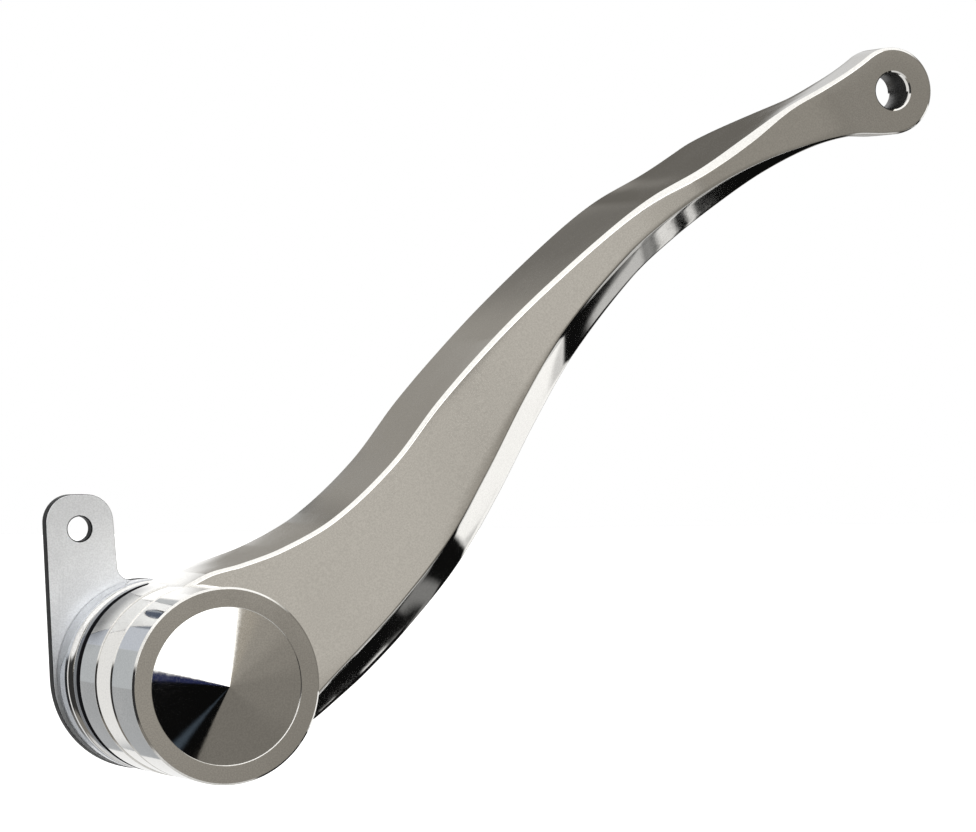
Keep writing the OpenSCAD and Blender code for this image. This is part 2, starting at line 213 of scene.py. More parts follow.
def makeStudio():
    world = bpy.data.worlds.new("studio")
    world.use_nodes = True
    scene.world = world
    tree = world.node_tree
    tree.nodes.clear()
    coord = addNode(tree, "ShaderNodeTexCoord")
    split = addNode(tree, "ShaderNodeSeparateXYZ")
    tree.links.new(coord.outputs["Generated"], split.inputs[0])
    x, y, z = split.outputs
    side = degreesNode(tree, "ARCTAN2", x, mathNode(tree, "MULTIPLY", y, -1.0))
    height = degreesNode(tree, "ARCSINE", z)

    card, cardIn, cardOut = newGroup("studioCard", [
        ("Side", "NodeSocketFloat", 0.0), ("Height", "NodeSocketFloat", 0.0),
        ("Side From", "NodeSocketFloat", 0.0), ("Side To", "NodeSocketFloat", 10.0),
        ("Height From", "NodeSocketFloat", 0.0), ("Height To", "NodeSocketFloat", 10.0),
        ("Softness", "NodeSocketFloat", 1.0)], [("Mask", "NodeSocketFloat")])
    half = cardIn.outputs["Softness"]
    parts = []
    for value, low, high in (("Side", "Side From", "Side To"), ("Height", "Height From", "Height To")):
        v, a, b = (cardIn.outputs[label] for label in (value, low, high))
        parts.append(rangeNode(card, v, mathNode(card, "SUBTRACT", a, half), mathNode(card, "ADD", a, half)))
        parts.append(rangeNode(card, v, mathNode(card, "SUBTRACT", b, half), mathNode(card, "ADD", b, half), 1.0, 0.0))
    mask = parts[0]
    for part in parts[1:]:
        mask = mathNode(card, "MULTIPLY", mask, part)
    card.links.new(mask, cardOut.inputs["Mask"])

    turn = degreesNode(tree, "ARCTAN2", z, mathNode(tree, "MULTIPLY", x, -1.0))
    angle = degreesNode(tree, "ARCCOSINE", y)
    tone = studioSet["base"]
    past = mathNode(tree, "SUBTRACT", side, studioSet["leanFrom"])
    leaning = mathNode(tree, "SUBTRACT", height, mathNode(tree, "MULTIPLY", past, studioSet["lean"]))
    rows = [(side, height) + row for row in studioSet["patches"]]
    rows += [(side, leaning) + row for row in studioSet["strips"]]
    rows += [(turn, angle) + row for row in studioSet["rings"]]
    for across, up, sideFrom, sideTo, heightFrom, heightTo, soft, colour in rows:
        node = tree.nodes.new("ShaderNodeGroup")
        node.node_tree = card
        tree.links.new(across, node.inputs["Side"])
        tree.links.new(up, node.inputs["Height"])
        for label, value in (("Side From", sideFrom), ("Side To", sideTo), ("Height From", heightFrom),
                             ("Height To", heightTo), ("Softness", soft)):
            node.inputs[label].default_value = value
        tone = mixColour(tree, node.outputs["Mask"], tone, colour)

    rays = addNode(tree, "ShaderNodeLightPath")
    glossyLook = addNode(tree, "ShaderNodeBackground")
    tree.links.new(tone, glossyLook.inputs["Color"])
    plainLook = addNode(tree, "ShaderNodeBackground")
    plainLook.inputs["Color"].default_value = grey(1.0)
    plainLook.inputs["Strength"].default_value = studioSet["white"]
    mix = addNode(tree, "ShaderNodeMixShader")
    tree.links.new(rays.outputs["Is Camera Ray"], mix.inputs[0])
    tree.links.new(glossyLook.outputs[0], mix.inputs[1])
    tree.links.new(plainLook.outputs[0], mix.inputs[2])
    out = addNode(tree, "ShaderNodeOutputWorld")
    tree.links.new(mix.outputs[0], out.inputs["Surface"])


makeStudio()

lampSet = {"place": (-0.5, -0.9, 1.4), "aim": (0.08, 0, 0.06), "size": 0.7, "power": 9}

lampData = bpy.data.lights.new("softLamp", "AREA")
lampData.size = lampSet["size"]
lampData.energy = lampSet["power"]
lamp = bpy.data.objects.new("softLamp", lampData)
lamp.location = lampSet["place"]
lamp.rotation_euler = (Vector(lampSet["aim"]) - Vector(lampSet["place"])).to_track_quat("-Z", "Y").to_euler()
lamp.visible_glossy = False
scene.collection.objects.link(lamp)
print("camera and studio ready")


# Pale floor that keeps the shadow
floorSet = {"height": -0.085, "size": 8.0, "tone": 0.86, "lift": 0.34}


def makeFloor():
    bm = bmesh.new()
    bmesh.ops.create_grid(bm, x_segments=2, y_segments=2, size=floorSet["size"] / 2,
                          matrix=Matrix.Translation((0, 0, floorSet["height"])))
    mesh = bpy.data.meshes.new("floor")
    bm.to_mesh(mesh)
    bm.free()
    floor = bpy.data.objects.new("floor", mesh)
    scene.collection.objects.link(floor)
    material = bpy.data.materials.new("paleFloor")
    material.use_nodes = True
    tree = material.node_tree
    paint = tree.nodes["Principled BSDF"]
    paint.inputs["Base Color"].default_value = grey(floorSet["tone"])
    paint.inputs["Roughness"].default_value = 0.9
    paint.inputs["Emission Color"].default_value = grey(1.0)
    rays = addNode(tree, "ShaderNodeLightPath")
    tree.links.new(mathNode(tree, "MULTIPLY", rays.outputs["Is Camera Ray"], floorSet["lift"]),
                   paint.inputs["Emission Strength"])
    mesh.materials.append(material)
    floor.visible_glossy = False       # the studio's own pale floor tone stands in reflections


makeFloor()


# Surface effects that several finishes use
def makeFineGrain():
    group, inside, outside = newGroup("fineGrain", [
        ("Vector", "NodeSocketVector", None), ("Scale", "NodeSocketFloat", 900.0),
        ("Smooth", "NodeSocketFloat", 0.1), ("Rough", "NodeSocketFloat", 0.2)],
        [("Roughness", "NodeSocketFloat"), ("Height", "NodeSocketFloat")])
    coarse = addNode(group, "ShaderNodeTexNoise", Detail=4.0, Roughness=0.6)
    fine = addNode(group, "ShaderNodeTexNoise", Detail=2.0, Roughness=0.5)
    for node, factor in ((coarse, 0.05), (fine, 1.0)):
        group.links.new(inside.outputs["Vector"], node.inputs["Vector"])
        group.links.new(mathNode(group, "MULTIPLY", inside.outputs["Scale"], factor), node.inputs["Scale"])
    blend = mathNode(group, "ADD", mathNode(group, "MULTIPLY", coarse.outputs[0], 0.7),
                     mathNode(group, "MULTIPLY", fine.outputs[0], 0.3))
    group.links.new(rangeNode(group, blend, 0.35, 0.65, inside.outputs["Smooth"], inside.outputs["Rough"]),
                    outside.inputs["Roughness"])
    group.links.new(fine.outputs[0], outside.inputs["Height"])
    return group


def makeTurnedLines():
    group, inside, outside = newGroup("turnedLines", [
        ("Vector", "NodeSocketVector", None), ("Pitch", "NodeSocketFloat", 4000.0)],
        [("Height", "NodeSocketFloat")])
    split = addNode(group, "ShaderNodeSeparateXYZ")
    group.links.new(inside.outputs["Vector"], split.inputs[0])
    x, y, z = split.outputs
    radius = lengthNode(group, x, z)
    join = addNode(group, "ShaderNodeCombineXYZ")
    group.links.new(mathNode(group, "MULTIPLY", radius, inside.outputs["Pitch"]), join.inputs[0])
    group.links.new(mathNode(group, "MULTIPLY", y, inside.outputs["Pitch"]), join.inputs[1])
    lines = addNode(group, "ShaderNodeTexNoise", Scale=1.0, Detail=3.0)
    group.links.new(join.outputs[0], lines.inputs["Vector"])
    group.links.new(lines.outputs[0], outside.inputs["Height"])
    return group


def makeFaintScratches():
    group, inside, outside = newGroup("faintScratches", [
        ("Vector", "NodeSocketVector", None), ("Length", "NodeSocketFloat", 60.0),
        ("Closeness", "NodeSocketFloat", 1800.0), ("Amount", "NodeSocketFloat", 0.5)],
        [("Mask", "NodeSocketFloat")])
    split = addNode(group, "ShaderNodeSeparateXYZ")
    group.links.new(inside.outputs["Vector"], split.inputs[0])
    join = addNode(group, "ShaderNodeCombineXYZ")
    group.links.new(mathNode(group, "MULTIPLY", split.outputs[0], inside.outputs["Length"]), join.inputs[0])
    group.links.new(mathNode(group, "MULTIPLY", split.outputs[2], inside.outputs["Closeness"]), join.inputs[2])
    group.links.new(mathNode(group, "MULTIPLY", split.outputs[1], inside.outputs["Closeness"]), join.inputs[1])
    noise = addNode(group, "ShaderNodeTexNoise", Scale=1.0, Detail=1.0)
    group.links.new(join.outputs[0], noise.inputs["Vector"])
    patches = addNode(group, "ShaderNodeTexNoise", Scale=40.0, Detail=1.0)
    group.links.new(inside.outputs["Vector"], patches.inputs["Vector"])
    thin = rangeNode(group, noise.outputs[0], 0.66, 0.74)
    marked = mathNode(group, "MULTIPLY", thin, rangeNode(group, patches.outputs[0], 0.5, 0.7))
    group.links.new(mathNode(group, "MULTIPLY", marked, inside.outputs["Amount"]), outside.inputs["Mask"])
    return group


fineGrain = makeFineGrain()
turnedLines = makeTurnedLines()
faintScratches = makeFaintScratches()


metalSet = {"cloudScale": 22.0, "cloudDark": 0.95, "mottleScale": 2400.0, "mottleDark": 0.44, "mottleShare": 0.24,
            "scratchDark": 0.72, "scratchRough": 0.2, "paintGloss": 0.03, "bumpDepth": 0.0002}
# where the painted shade beside the groove fades in and out: depth, degrees round the pivot, radius
grooveShadeSet = {"depth": (-0.005, 0.0075), "begin": (16, 36), "end": (62, 82), "radius": (0.0252, 0.0256), "tone": 0.02}


def metalFinish(name, tone, smooth, rough, grain=900.0, turned=0.0, bump=0.02, scratches=0.0, turn=0.0,
                metallic=1.0, shade=0.0):
    material = bpy.data.materials.new(name)
    material.use_nodes = True
    tree = material.node_tree
    metal = tree.nodes["Principled BSDF"]
    metal.inputs["Metallic"].default_value = metallic
    if metallic < 1:
        metal.inputs["Specular IOR Level"].default_value = metalSet["paintGloss"]
    coord = addNode(tree, "ShaderNodeTexCoord")
    place = addNode(tree, "ShaderNodeMapping")
    place.inputs["Rotation"].default_value = (0, math.radians(turn), 0)
    tree.links.new(coord.outputs["Object"], place.inputs["Vector"])
    grainNode = groupNode(tree, fineGrain, place.outputs[0], Scale=grain, Smooth=smooth, Rough=rough)
    roughness = grainNode.outputs["Roughness"]
    height = grainNode.outputs["Height"]
    if turned:
        lines = groupNode(tree, turnedLines, coord.outputs["Object"], Pitch=turned)
        height = mathNode(tree, "ADD", mathNode(tree, "MULTIPLY", height, 0.4),
                          mathNode(tree, "MULTIPLY", lines.outputs["Height"], 0.6))
    # a slow change of tone over the surface, as handled chrome shows
    cloud = addNode(tree, "ShaderNodeTexNoise", Scale=metalSet["cloudScale"], Detail=3.0)
    tree.links.new(place.outputs[0], cloud.inputs["Vector"])
    colour = mixColour(tree, rangeNode(tree, cloud.outputs[0], 0.35, 0.65), darker(tone, metalSet["cloudDark"]), tone)
    mottle = addNode(tree, "ShaderNodeTexNoise", Scale=metalSet["mottleScale"], Detail=2.0)
    tree.links.new(place.outputs[0], mottle.inputs["Vector"])
    speckle = rangeNode(tree, mottle.outputs[0], 0.3, 0.7, metalSet["mottleShare"], 0.0)
    colour = mixColour(tree, speckle, colour, darker(tone, metalSet["mottleDark"]))
    if scratches:
        marks = groupNode(tree, faintScratches, place.outputs[0], Amount=scratches)
        rougher = mathNode(tree, "MULTIPLY", marks.outputs["Mask"], metalSet["scratchRough"])
        roughness = mathNode(tree, "ADD", roughness, rougher, clamp=True)
        colour = mixColour(tree, marks.outputs["Mask"], colour, darker(tone, metalSet["scratchDark"]))
    if shade:
        # painted shade beside the groove, at the upper left of the barrel: the base colour darkens to near black
        apart = addNode(tree, "ShaderNodeSeparateXYZ")
        tree.links.new(coord.outputs["Object"], apart.inputs[0])
        px, py, pz = apart.outputs
        around = degreesNode(tree, "ARCTAN2", pz, mathNode(tree, "MULTIPLY", px, -1.0))
        mask = rangeNode(tree, py, *grooveShadeSet["depth"])
        for part in (rangeNode(tree, around, *grooveShadeSet["begin"]),
                     rangeNode(tree, around, *grooveShadeSet["end"], 1.0, 0.0),
                     rangeNode(tree, lengthNode(tree, px, pz), *grooveShadeSet["radius"], shade, 0.0)):
            mask = mathNode(tree, "MULTIPLY", mask, part)
        colour = mixColour(tree, mask, colour, grey(grooveShadeSet["tone"]))
    tree.links.new(colour, metal.inputs["Base Color"])
    tree.links.new(roughness, metal.inputs["Roughness"])
    bumpNode = addNode(tree, "ShaderNodeBump", Strength=bump, Distance=metalSet["bumpDepth"])
    tree.links.new(height, bumpNode.inputs["Height"])
    tree.links.new(bumpNode.outputs[0], metal.inputs["Normal"])
    return material


finishes = {
    "arm": metalFinish("armChrome", (0.80, 0.785, 0.75, 1), 0.03, 0.07, bump=0.006, scratches=0.2, turn=38.3,
                       shade=0.95),
    "thread": metalFinish("threadSteel", (0.22, 0.22, 0.22, 1), 0.25, 0.4, turned=3000.0, bump=0.05),
    "cap": metalFinish("capChrome", (0.80, 0.785, 0.75, 1), 0.03, 0.07, bump=0.006),
    "trim": metalFinish("trimChrome", (0.82, 0.81, 0.79, 1), 0.03, 0.08, bump=0.006),
    "collar": metalFinish("collarChrome", (0.52, 0.54, 0.57, 1), 0.08, 0.16, turned=5000.0, bump=0.03),
    "plate": metalFinish("plateSteel", (0.86, 0.87, 0.88, 1), 0.42, 0.5, grain=1500.0, bump=0.05, scratches=0.3,
                         turn=90),
    # black, non-metallic finish for the plate's sides: a painted dark reflection
    "plateEdgeDarkReflection": metalFinish("plateEdgeDarkReflection", (0.012, 0.012, 0.013, 1), 0.3, 0.4, grain=1500.0, bump=0.05,
                             metallic=0.0),
    # dark, non-metallic finish for the groove's floor and the trim ring's neck: painted shade in these recesses
    "groove": metalFinish("grooveShadePaint", (0.012, 0.012, 0.014, 1), 0.25, 0.35, bump=0.02, metallic=0.0),
    # darker tone for the lip beside the groove: a painted dark reflection on the arm's chrome
    "lip": metalFinish("lipDarkReflection", (0.15, 0.157, 0.17, 1), 0.06, 0.12, bump=0.01),
    "bronze": metalFinish("bushBronze", (0.64, 0.43, 0.20, 1), 0.25, 0.42, turned=4000.0, bump=0.12),
    "washer": metalFinish("washerSteel", (0.60, 0.60, 0.60, 1), 0.22, 0.34, turned=4500.0, bump=0.1),
    "screw": metalFinish("screwSteel", (0.40, 0.40, 0.41, 1), 0.2, 0.34, grain=2600.0, bump=0.12),
    "pin": metalFinish("pinSteel", (0.52, 0.52, 0.53, 1), 0.16, 0.3, grain=2600.0, bump=0.1),
}


def rubberFinish():
    material = bpy.data.materials.new("sealRubber")
    material.use_nodes = True
    tree = material.node_tree
    rubber = tree.nodes["Principled BSDF"]
    rubber.inputs["Specular IOR Level"].default_value = 0.35
    coord = addNode(tree, "ShaderNodeTexCoord")
    grainNode = groupNode(tree, fineGrain, coord.outputs["Object"], Scale=2000.0, Smooth=0.55, Rough=0.75)
    tree.links.new(grainNode.outputs["Roughness"], rubber.inputs["Roughness"])
    tree.links.new(mixColour(tree, grainNode.outputs["Height"], (0.012, 0.012, 0.013, 1), (0.03, 0.03, 0.031, 1)),
                   rubber.inputs["Base Color"])
    return material


finishes["rubber"] = rubberFinish()
print("finishes ready")


# Mesh helpers
meshSet = {"near": 1e-6, "sharp": 24}        # metres, degrees


def markSharp(bm, sharpAngle):
    for face in bm.faces:
        face.smooth = True
    for edge in bm.edges:
        edge.smooth = len(edge.link_faces) == 2 and edge.calc_face_angle(0) < math.radians(sharpAngle)


def finishPiece(bm, name, finish, sharpAngle=meshSet["sharp"]):
    bmesh.ops.remove_doubles(bm, verts=bm.verts, dist=meshSet["near"])
    bmesh.ops.recalc_face_normals(bm, faces=bm.faces)
    markSharp(bm, sharpAngle)
    mesh = bpy.data.meshes.new(name)
    bm.to_mesh(mesh)
    bm.free()
    mesh.materials.append(finishes[finish])
    piece = bpy.data.objects.new(name, mesh)
    scene.collection.objects.link(piece)
    return piece


def weighNormals(piece):
    modifier = piece.modifiers.new("evenShading", "WEIGHTED_NORMAL")
    modifier.keep_sharp = True
    modifier.weight = 60


# A turned piece from an outline of (radius, depth) in millimetres, its corners broken by a small bevel
def turnedShape(outline, closed=False, edgeBreak=0.12, steps=192, centre=(0, 0, 0)):
    bm = bmesh.new()
    points = [bm.verts.new((centre[0] + r * mm, y * mm, centre[2])) for r, y in outline]
    pairs = list(zip(points, points[1:]))
    if closed:
        pairs.append((points[-1], points[0]))
    edges = [bm.edges.new(pair) for pair in pairs]
    bmesh.ops.spin(bm, geom=points + edges, cent=centre, axis=(0, 1, 0), angle=2 * math.pi, steps=steps,
                   use_merge=True)
    bmesh.ops.remove_doubles(bm, verts=bm.verts, dist=meshSet["near"])
    bmesh.ops.recalc_face_normals(bm, faces=bm.faces)
    if edgeBreak:
        sharp = math.radians(meshSet["sharp"])
        corners = [e for e in bm.edges if len(e.link_faces) == 2 and e.calc_face_angle(0) > sharp]
        bmesh.ops.bevel(bm, geom=corners, offset=edgeBreak * mm, offset_type="OFFSET", segments=2,
                        profile=0.5, affect="EDGES", material=-1, clamp_overlap=True)
    return bm


def cutAway(piece, cutter):
    modifier = piece.modifiers.new("cut", "BOOLEAN")
    modifier.operation = "DIFFERENCE"
    modifier.solver = "EXACT"
    modifier.object = cutter
    shape = bpy.data.meshes.new_from_object(piece.evaluated_get(bpy.context.evaluated_depsgraph_get()))
    piece.modifiers.clear()
    old = piece.data
    shape.name = old.name
    piece.data = shape
    bpy.data.meshes.remove(old)
    bpy.data.objects.remove(cutter)


def softEdges(piece):
    bm = bmesh.new()
    bm.from_mesh(piece.data)
    bmesh.ops.remove_doubles(bm, verts=bm.verts, dist=meshSet["near"])
    markSharp(bm, meshSet["sharp"])
    bm.to_mesh(piece.data)
    bm.free()


# Hub sizes in millimetres, as in the CAD source
hub = {"r": 25.0, "front": -15.875, "back": 15.875, "rim": -32.475, "seat": 16.8, "boss": 15.6,
       "collarBack": 29.675, "trimBack": 22.275, "plateBack": 33.075}


# Blade of the arm, in millimetres and degrees
blade = {
    "eyeX": 196.0, "eyeZ": 155.0, "thick": 31.75, "lowBevel": 10.0, "topBevel": 1.75, "backBevel": 1.0,
    "leanAngle": 1.8, "faceSwell": 3.0, "backSwell": 5.5, "eyeR": 11.7, "eyeT": 12.7,
    "steps": 230, "tipSteps": 28, "lowBulge": -0.006, "topBulge": -0.02, "edgeRound": 0.22, "lowRound": 0.4,
}
reach = math.hypot(blade["eyeX"], blade["eyeZ"])
rise = math.atan2(blade["eyeZ"], blade["eyeX"])
rootU = -0.13 * hub["r"]
rootV = math.sqrt(hub["r"] ** 2 - rootU ** 2) - 0.4
toeU = reach - blade["eyeR"] * math.sin(rise)
toeV = -blade["eyeR"] * math.cos(rise)
tb, lb, hr, er = blade["topBevel"], blade["lowBevel"], hub["r"], blade["eyeR"]

# distance from the pivot, upper edge, lower edge, upper bevel, lower bevel
stations = [
    (rootU, rootV, -rootV, 1.0, 1.2),
    (0.070 * reach, hr - 3.9, -hr - 2.8, 0.8, 0.55 * lb),
    (0.108 * reach, hr - 7.9, -hr - 3.4, 0.8, 0.72 * lb),
    (0.152 * reach, 13.3, -28.4, 0.8, 0.83 * lb),
    (0.215 * reach, 10.5, -26.8, 0.8, 0.87 * lb),
    (0.300 * reach, 11.7, -22.9, 0.8, 0.93 * lb),
    (0.380 * reach, 16.3, -16, 0.85, lb),
    (0.464 * reach, 19.6, -6.9, 0.9, lb),
    (0.538 * reach, 21.3, 0.3, 0.9, 0.93 * lb),
    (0.638 * reach, 22.1, 6.5, 0.53 * tb, 0.74 * lb),
    (0.700 * reach, 21.4, 7.6, 0.66 * tb, 0.66 * lb),
    (0.765 * reach, 18.5, 7.2, 0.9 * tb, 0.55 * lb),
    (0.826 * reach, 16.9, 5.9, tb, 0.33 * lb),
    (0.888 * reach, 15.5, 2.5, 0.55 * tb, 0.1 * lb),
    (0.935 * reach, 13.4, -2.7, 0.8, 0.6),
    (toeU, er + 0.4, toeV, 0.7, 0.6),
    (reach, er, -er, 0.7, 0.6),
]


def slopeAt(column, i):
    a, b = stations[max(i - 1, 0)], stations[min(i + 1, len(stations) - 1)]
    return (b[column] - a[column]) / (b[0] - a[0])


def along(column, u):
    i = 0
    while i < len(stations) - 2 and u >= stations[i + 1][0]:
        i += 1
    a, b = stations[i], stations[i + 1]
    h = b[0] - a[0]
    s = (u - a[0]) / h
    slopeA, slopeB = slopeAt(column, i), slopeAt(column, i + 1)
    if column == 1 and i == len(stations) - 2:
        slopeB = 0.0        # the upper edge runs level into the round eye
    return (a[column] * (2 * s ** 3 - 3 * s ** 2 + 1) + slopeA * h * (s ** 3 - 2 * s ** 2 + s)
            + b[column] * (3 * s ** 2 - 2 * s ** 3) + slopeB * h * (s ** 3 - s ** 2))


def ease(u, a, b):
    s = min(max((u - a) / (b - a), 0), 1)
    return s * s * (3 - 2 * s)


def lowerEdge(u):
    return along(2, u) if u < toeU else -math.sqrt(max(er ** 2 - (reach - u) ** 2, 0))


def frontOf(u):
    swell = ease(u, 0.25 * reach, 0.7 * reach) * (1 - ease(u, 0.74 * reach, 0.94 * reach))
    return hub["front"] - blade["faceSwell"] * swell


def backOf(u):
    return (hub["back"] + blade["backSwell"] * ease(u, 0.44 * reach, 0.78 * reach)
            - (blade["thick"] + blade["backSwell"] - blade["eyeT"]) * ease(u, 0.82 * reach, 0.92 * reach))


def toArm(u, v, y):
    return Vector(((u * math.cos(rise) - v * math.sin(rise)) * mm, y * mm,
                   (u * math.sin(rise) + v * math.cos(rise)) * mm))


# A corner of the section as three points, rounded between its neighbours
def cornerPoints(before, corner, after, size):
    def towards(other, amount):
        length = math.dist(corner, other) or 1
        k = min(amount / length, 0.3)
        return (corner[0] + (other[0] - corner[0]) * k, corner[1] + (other[1] - corner[1]) * k)
    a, b = towards(before, size), towards(after, size)
    mid = ((a[0] + b[0]) / 4 + corner[0] / 2, (a[1] + b[1]) / 4 + corner[1] / 2)
    return [a, mid, b]


def between(a, b, count):
    return [(a[0] + (b[0] - a[0]) * k / count, a[1] + (b[1] - a[1]) * k / count) for k in range(1, count)]


# Points of a bevel between two corners, pushed to a shallow curve
def bevelPoints(a, b, bulge):
    length = math.dist(a, b)
    nx, ny = (b[1] - a[1]) / length, -(b[0] - a[0]) / length
    points = []
    for k in range(1, 8):
        t = k / 8
        push = bulge * length * 4 * t * (1 - t)
        points.append((a[0] + (b[0] - a[0]) * t + nx * push, a[1] + (b[1] - a[1]) * t + ny * push))
    return points


def sectionPoints(u):
    top, low, upper, lower = along(1, u), lowerEdge(u), along(3, u), along(4, u)
    width = top - low - upper - lower
    lean = math.tan(math.radians(blade["leanAngle"])) * width * (1 - ease(u, 0.66 * reach, 0.86 * reach))
    front, back, bb = frontOf(u), backOf(u), blade["backBevel"]
    corners = [(low + lower, front), (top - upper, front + lean), (top, front + lean + upper), (top, back - bb),
               (top - bb, back), (low + bb, back), (low, back - bb), (low, front + lower)]
    rounds = [blade["lowRound"]] + 6 * [blade["edgeRound"]] + [blade["lowRound"]]
    loops = [cornerPoints(corners[k - 1], c, corners[(k + 1) % 8], rounds[k]) for k, c in enumerate(corners)]
    topBevel = bevelPoints(loops[1][2], loops[2][0], blade["topBulge"])
    lowBevel = bevelPoints(loops[7][2], loops[0][0], blade["lowBulge"])
    return (loops[0] + between(loops[0][2], loops[1][0], 6) + loops[1]
            + topBevel + loops[2] + between(loops[2][2], loops[3][0], 3) + loops[3]
            + loops[4] + between(loops[4][2], loops[5][0], 6) + loops[5]
            + loops[6] + between(loops[6][2], loops[7][0], 3) + loops[7] + lowBevel)


def makeBlade():
    bm = bmesh.new()
    rings = []
    for i in range(blade["steps"] + 1):
        u = rootU + (reach - rootU) * i / blade["steps"]
        rings.append([toArm(u, v, y) for v, y in sectionPoints(u)])
    # past the eye's centre both halves of the section swing round to the tip, and are alike so that it closes
    last = sectionPoints(reach)
    count = len(last)
    mirrored = [last[(10 - k) % count] for k in range(count)]
    last = [((v - w) / 2, (y + z) / 2) for (v, y), (w, z) in zip(last, mirrored)]
    for i in range(1, blade["tipSteps"] + 1):
        swing = math.pi / 2 * i / blade["tipSteps"]
        rings.append([toArm(reach + abs(v) * math.sin(swing), v * math.cos(swing), y) for v, y in last])
    first = [bm.verts.new(co) for co in rings[0]]
    loop = [bm.edges.new((a, b)) for a, b in zip(first, first[1:] + first[:1])]
    bm.faces.new(first)
    for ring in rings[1:]:
        result = bmesh.ops.extrude_edge_only(bm, edges=loop)
        loop = [g for g in result["geom"] if isinstance(g, bmesh.types.BMEdge)]
        fresh = [g for g in result["geom"] if isinstance(g, bmesh.types.BMVert)]
        for vert, co in zip(fresh, ring):
            vert.co = co
    return bm


arm = finishPiece(makeBlade(), "pedalArm", "arm")
print("blade lofted:", len(arm.data.polygons), "faces")
cutSet = {"hubR": 24.65, "hubReach": 60}
hubCut = [(0, -cutSet["hubReach"]), (cutSet["hubR"], -cutSet["hubReach"]),
          (cutSet["hubR"], cutSet["hubReach"]), (0, cutSet["hubReach"])]
cutAway(arm, finishPiece(turnedShape(hubCut, edgeBreak=0), "hubCut", "arm"))
eyeAt = (blade["eyeX"] * mm, 0, blade["eyeZ"] * mm)
eyeFront, eyeBack = hub["front"], hub["front"] + blade["eyeT"]
eyeHole = {"r": 5.02, "bevel": 0.4, "past": 2, "steps": 96}
holeR, holeBevel, past = eyeHole["r"], eyeHole["bevel"], eyeHole["past"]
eyeCut = [(0, eyeFront - past), (holeR + holeBevel + past, eyeFront - past), (holeR, eyeFront + holeBevel),
          (holeR, eyeBack - holeBevel), (holeR + holeBevel + past, eyeBack + past), (0, eyeBack + past)]
cutAway(arm, finishPiece(turnedShape(eyeCut, edgeBreak=0, steps=eyeHole["steps"], centre=eyeAt), "eyeCut", "arm"))
softEdges(arm)
print("eye hole cut:", len(arm.data.polygons), "faces")


# Hub barrel of the arm
barrelSet = {"frontEdge": 1.2, "step": 0.28, "stepFrom": -2.4, "stepTo": -2.2, "lip": 2.9, "grooveFrom": 3.1,
             "grooveFlat": 2.0, "grooveDepth": 1.1, "backEdge": 0.4, "bore": 11.15, "floor": -7.875, "edgeBreak": 0.1}


def barrelOutline():
    b = barrelSet
    sunk = hr - b["grooveDepth"]
    return [
        (hub["seat"], hub["front"]), (hr - b["frontEdge"], hub["front"]), (hr, hub["front"] + b["frontEdge"]),
        (hr - b["step"], b["stepFrom"]), (hr, b["stepTo"]), (hr, lipY - b["grooveFrom"]),
        (sunk, lipY - b["grooveFlat"]), (sunk, lipY),
        (hr, lipY), (hr, hub["back"] - b["backEdge"]), (hr - b["backEdge"], hub["back"]),
        (hub["boss"], hub["back"]), (hub["boss"], hub["collarBack"]), (b["bore"], hub["collarBack"]),
        (b["bore"], b["floor"]), (hub["seat"], b["floor"])]


lipY = hub["back"] - barrelSet["lip"]
barrel = finishPiece(turnedShape(barrelOutline(), closed=True, edgeBreak=barrelSet["edgeBreak"]), "barrel", "arm")


# Faces of a piece that a test on (radius, depth) in millimetres picks take another finish
def finishWhere(piece, finish, picks):
    piece.data.materials.append(finishes[finish])
    for face in piece.data.polygons:
        centre = face.center
        if picks(math.hypot(centre.x, centre.z) / mm, centre.y / mm):
            face.material_index = len(piece.data.materials) - 1


# The groove's floor takes the dark finish as painted shade
finishWhere(barrel, "groove", lambda r, y: 24.95 > r > 20 and lipY - 3.05 < y < lipY + 0.02)
# The lip takes the darker tone as a painted dark reflection
finishWhere(barrel, "lip", lambda r, y: r > 24.5 and lipY + 0.02 <= y)

# The tapped thread inside the eye
threadSet = {"crest": 4.82, "root": 5.04, "pitch": 1.0, "turns": 11, "inset": 0.3, "steps": 96, "wall": 0.04}


def makeThread():
    bm = bmesh.new()
    start = eyeBack - holeBevel - threadSet["inset"]
    points = []
    for k in range(threadSet["turns"] + 1):
        y = start - k * threadSet["pitch"]
        points.append((threadSet["root"], y))
        points.append((threadSet["crest"], y - 0.5 * threadSet["pitch"]))
    verts = [bm.verts.new((eyeAt[0] + r * mm, y * mm, eyeAt[2])) for r, y in points[:-1]]
    edges = [bm.edges.new(pair) for pair in zip(verts, verts[1:])]
    steps = threadSet["steps"]
    bmesh.ops.spin(bm, geom=verts + edges, cent=eyeAt, axis=(0, 1, 0), dvec=(0, threadSet["pitch"] * mm / steps, 0),
                   angle=2 * math.pi, steps=steps)
    bmesh.ops.remove_doubles(bm, verts=bm.verts, dist=1e-5)
    bmesh.ops.solidify(bm, geom=bm.faces[:], thickness=threadSet["wall"] * mm)
    return bm


thread = finishPiece(makeThread(), "thread", "thread", sharpAngle=40)


def joinPieces(main, others):
    bm = bmesh.new()
    bm.from_mesh(main.data)
    for piece in others:
        for material in piece.data.materials:
            if material.name not in main.data.materials:
                main.data.materials.append(material)
        known = [m.name for m in main.data.materials]
        own = [known.index(m.name) for m in piece.data.materials]
        before = len(bm.faces)
        bm.from_mesh(piece.data)
        bm.faces.ensure_lookup_table()
        for face in bm.faces[before:]:
            face.material_index = own[face.material_index]
    bm.to_mesh(main.data)
    bm.free()
    for piece in others:
        bpy.data.objects.remove(piece)


joinPieces(arm, [barrel, thread])
weighNormals(arm)
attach(arm, "root")
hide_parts("pedal_arm")
print("arm finished")


